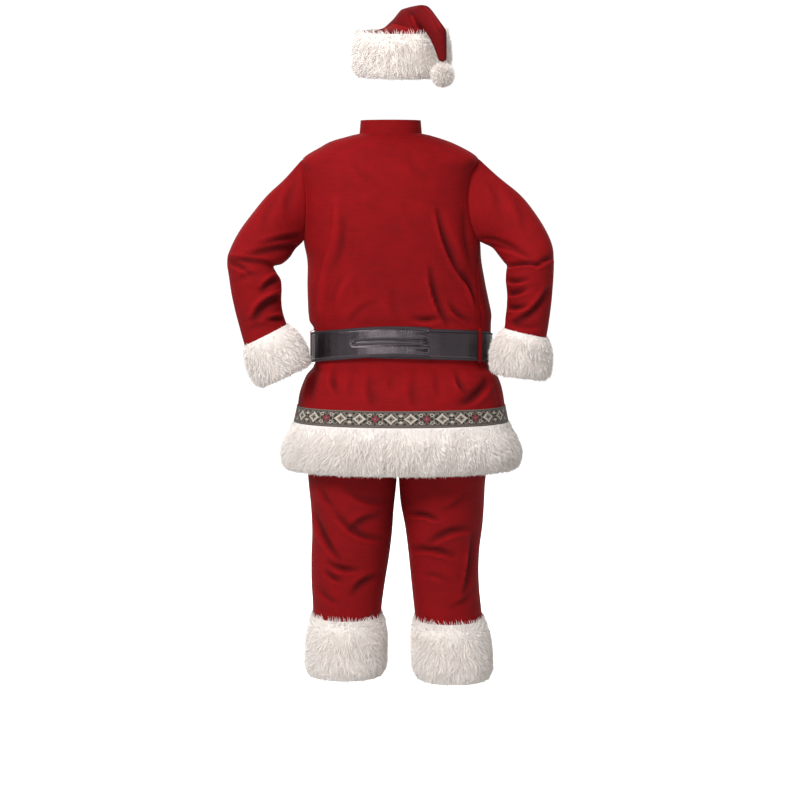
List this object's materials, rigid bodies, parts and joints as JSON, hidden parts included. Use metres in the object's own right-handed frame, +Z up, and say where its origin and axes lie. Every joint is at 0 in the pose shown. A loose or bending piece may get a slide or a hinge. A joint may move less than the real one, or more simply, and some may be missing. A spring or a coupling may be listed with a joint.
{
  "type": "santa suit",
  "caption": "Red velour santa suit in worn form: belted jacket with plush hem, cuffs and woven braid, trousers with plush leg bands, and a falling cap.",
  "frame": {"origin": "middle of the neck opening, level with the shoulder seams' inner ends, where the wearer holds the suit", "axes": "+Z up, +Y out of the back, +X towards the wearer's left"},
  "size_m": [0.7662, 0.4253, 1.6043],
  "materials": {
    "red_velour": "short napped velour, soft sheen along the folds",
    "white_plush": "long white pile, matt",
    "woven_braid": "flat woven ribbon with diamonds and small red flowers",
    "black_vinyl": "black vinyl, satin, edges stitched",
    "brass": "polished",
    "black_button": "gloss"
  },
  "bodies": {
    "root": {"jacket_back": "red_velour", "jacket_front_left": "red_velour", "jacket_front_right": "red_velour", "sleeve_left": "red_velour", "sleeve_right": "red_velour", "collar_band": "red_velour", "belt_loop_left": "red_velour", "belt_loop_right": "red_velour", "waistband": "red_velour", "trouser_back_left": "red_velour", "trouser_back_right": "red_velour", "trouser_front_left": "red_velour", "trouser_front_right": "red_velour", "hat_crown": "red_velour", "hem_fur": "white_plush", "sleeve_cuff_left": "white_plush", "sleeve_cuff_right": "white_plush", "leg_fur_left": "white_plush", "leg_fur_right": "white_plush", "hat_band": "white_plush", "pompom": "white_plush", "hem_braid": "woven_braid", "belt_strap_left": "black_vinyl", "belt_strap_right": "black_vinyl", "buckle_frame": "brass", "buckle_prong": "brass", "button_1": "black_button", "button_2": "black_button", "button_3": "black_button", "button_4": "black_button"}
  },
  "joints": []
}
